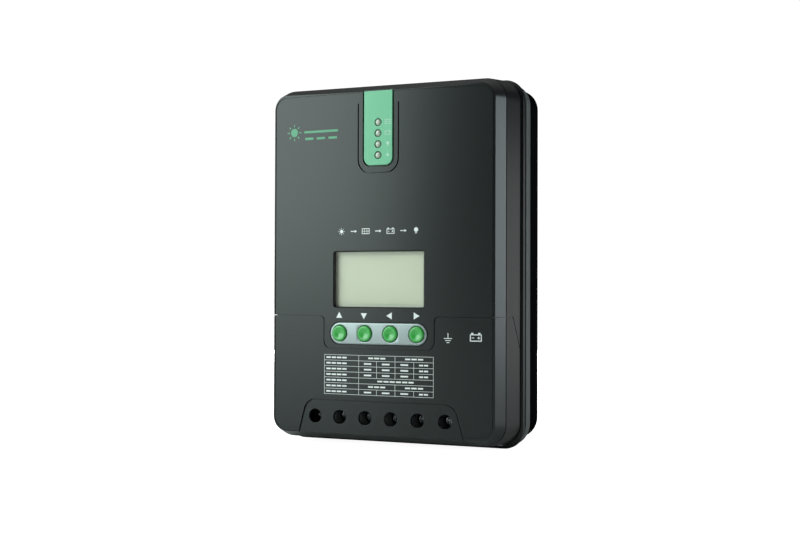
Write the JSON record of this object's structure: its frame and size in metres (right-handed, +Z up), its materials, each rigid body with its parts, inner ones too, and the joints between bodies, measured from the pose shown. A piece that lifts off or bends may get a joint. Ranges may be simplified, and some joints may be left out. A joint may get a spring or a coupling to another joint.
{
  "type": "solar charge controller",
  "caption": "Wall-mounted solar battery charge controller: crowned moulded case on a finned heat sink, with display, press keys, indicator lamps and a row of screw clamp terminals.",
  "frame": {"origin": "middle of the back, on the plane of the fin tips that lies against the wall", "axes": "+X to the right as the viewer faces the unit, +Z up, and -Y out of the wall through the crowned face"},
  "size_m": [0.173, 0.0736, 0.238],
  "materials": {
    "anodised_aluminium": "black anodised extrusion, satin",
    "grey_plastic": "fine moulded texture",
    "rubber": "matt black",
    "case_plastic": "fine spark-eroded texture, satin",
    "silver_plastic": "silver-grey satin paint",
    "green_plastic": "mint green, satin",
    "key_plastic": "green, polished dome",
    "clear_plastic": "clear, polished",
    "lamp_epoxy": "water-clear epoxy",
    "lcd_glass": "pale green reflective display, blank",
    "white_plastic": "white, satin",
    "board_laminate": "green solder mask over glass laminate",
    "black_plastic": "black, satin",
    "amber_plastic": "amber, semi-clear",
    "enamelled_copper": "enamelled copper windings",
    "sleeved_can": "dark blue sleeve",
    "brass": "plain brass",
    "zinc_steel": "bright zinc plate"
  },
  "bodies": {
    "case": {"heat_sink": "anodised_aluminium", "base_frame": "grey_plastic", "case_gasket": "rubber", "upper_cover": "case_plastic", "terminal_cover": "case_plastic", "keypad_bezel": "silver_plastic", "indicator_strip": "green_plastic", "lcd_window": "clear_plastic", "led_array": "lamp_epoxy", "led_battery": "lamp_epoxy", "led_load": "lamp_epoxy", "led_fault": "lamp_epoxy", "lcd_panel": "lcd_glass", "lcd_backlight": "white_plastic", "sensor_socket": "white_plastic", "display_board": "board_laminate", "power_board": "board_laminate", "switch_up": "black_plastic", "switch_down": "black_plastic", "switch_left": "black_plastic", "switch_right": "black_plastic", "link_header": "black_plastic", "control_chip": "black_plastic", "terminal_block": "black_plastic", "data_socket": "black_plastic", "transistor_1": "black_plastic", "transistor_2": "black_plastic", "transistor_3": "black_plastic", "transistor_4": "black_plastic", "fuse": "amber_plastic", "inductor": "enamelled_copper", "capacitor_1": "sleeved_can", "capacitor_2": "sleeved_can", "capacitor_3": "sleeved_can", "standoff_1": "brass", "standoff_2": "brass", "standoff_3": "brass", "standoff_4": "brass", "case_screw_1": "zinc_steel", "case_screw_2": "zinc_steel", "case_screw_3": "zinc_steel", "case_screw_4": "zinc_steel", "cover_screw_left": "zinc_steel", "cover_screw_right": "zinc_steel"},
    "key_up": {"button_up": "key_plastic"},
    "key_down": {"button_down": "key_plastic"},
    "key_left": {"button_left": "key_plastic"},
    "key_right": {"button_right": "key_plastic"},
    "screw_1": {"terminal_screw_1": "zinc_steel"},
    "cage_1": {"clamp_cage_1": "brass"},
    "screw_2": {"terminal_screw_2": "zinc_steel"},
    "cage_2": {"clamp_cage_2": "brass"},
    "screw_3": {"terminal_screw_3": "zinc_steel"},
    "cage_3": {"clamp_cage_3": "brass"},
    "screw_4": {"terminal_screw_4": "zinc_steel"},
    "cage_4": {"clamp_cage_4": "brass"},
    "screw_5": {"terminal_screw_5": "zinc_steel"},
    "cage_5": {"clamp_cage_5": "brass"},
    "screw_6": {"terminal_screw_6": "zinc_steel"},
    "cage_6": {"clamp_cage_6": "brass"}
  },
  "joints": [
    {"name": "press_up", "type": "slide", "parent": "case", "child": "key_up", "axis": [0, 1, 0], "range_m": [0, 0.0005], "stiffness_N_per_m": 1500, "springref_m": -0.0008},
    {"name": "press_down", "type": "slide", "parent": "case", "child": "key_down", "axis": [0, 1, 0], "range_m": [0, 0.0005], "stiffness_N_per_m": 1500, "springref_m": -0.0008},
    {"name": "press_left", "type": "slide", "parent": "case", "child": "key_left", "axis": [0, 1, 0], "range_m": [0, 0.0005], "stiffness_N_per_m": 1500, "springref_m": -0.0008},
    {"name": "press_right", "type": "slide", "parent": "case", "child": "key_right", "axis": [0, 1, 0], "range_m": [0, 0.0005], "stiffness_N_per_m": 1500, "springref_m": -0.0008},
    {"name": "turn_screw_1", "type": "hinge", "parent": "case", "child": "screw_1", "pos_m": [-0.04662, -0.061, -0.1], "axis": [0, 1, 0], "range_deg": [0, 1800]},
    {"name": "draw_cage_1", "type": "slide", "parent": "case", "child": "cage_1", "axis": [0, -1, 0], "range_m": [0, 0.004]},
    {"name": "turn_screw_2", "type": "hinge", "parent": "case", "child": "screw_2", "pos_m": [-0.02797, -0.061, -0.1], "axis": [0, 1, 0], "range_deg": [0, 1800]},
    {"name": "draw_cage_2", "type": "slide", "parent": "case", "child": "cage_2", "axis": [0, -1, 0], "range_m": [0, 0.004]},
    {"name": "turn_screw_3", "type": "hinge", "parent": "case", "child": "screw_3", "pos_m": [-0.00932, -0.061, -0.1], "axis": [0, 1, 0], "range_deg": [0, 1800]},
    {"name": "draw_cage_3", "type": "slide", "parent": "case", "child": "cage_3", "axis": [0, -1, 0], "range_m": [0, 0.004]},
    {"name": "turn_screw_4", "type": "hinge", "parent": "case", "child": "screw_4", "pos_m": [0.00932, -0.061, -0.1], "axis": [0, 1, 0], "range_deg": [0, 1800]},
    {"name": "draw_cage_4", "type": "slide", "parent": "case", "child": "cage_4", "axis": [0, -1, 0], "range_m": [0, 0.004]},
    {"name": "turn_screw_5", "type": "hinge", "parent": "case", "child": "screw_5", "pos_m": [0.02797, -0.061, -0.1], "axis": [0, 1, 0], "range_deg": [0, 1800]},
    {"name": "draw_cage_5", "type": "slide", "parent": "case", "child": "cage_5", "axis": [0, -1, 0], "range_m": [0, 0.004]},
    {"name": "turn_screw_6", "type": "hinge", "parent": "case", "child": "screw_6", "pos_m": [0.04662, -0.061, -0.1], "axis": [0, 1, 0], "range_deg": [0, 1800]},
    {"name": "draw_cage_6", "type": "slide", "parent": "case", "child": "cage_6", "axis": [0, -1, 0], "range_m": [0, 0.004]}
  ],
  "couplings": [
    {"joint": "turn_screw_1", "follows": "draw_cage_1", "rad_per_m": 7854},
    {"joint": "turn_screw_2", "follows": "draw_cage_2", "rad_per_m": 7854},
    {"joint": "turn_screw_3", "follows": "draw_cage_3", "rad_per_m": 7854},
    {"joint": "turn_screw_4", "follows": "draw_cage_4", "rad_per_m": 7854},
    {"joint": "turn_screw_5", "follows": "draw_cage_5", "rad_per_m": 7854},
    {"joint": "turn_screw_6", "follows": "draw_cage_6", "rad_per_m": 7854}
  ]
}
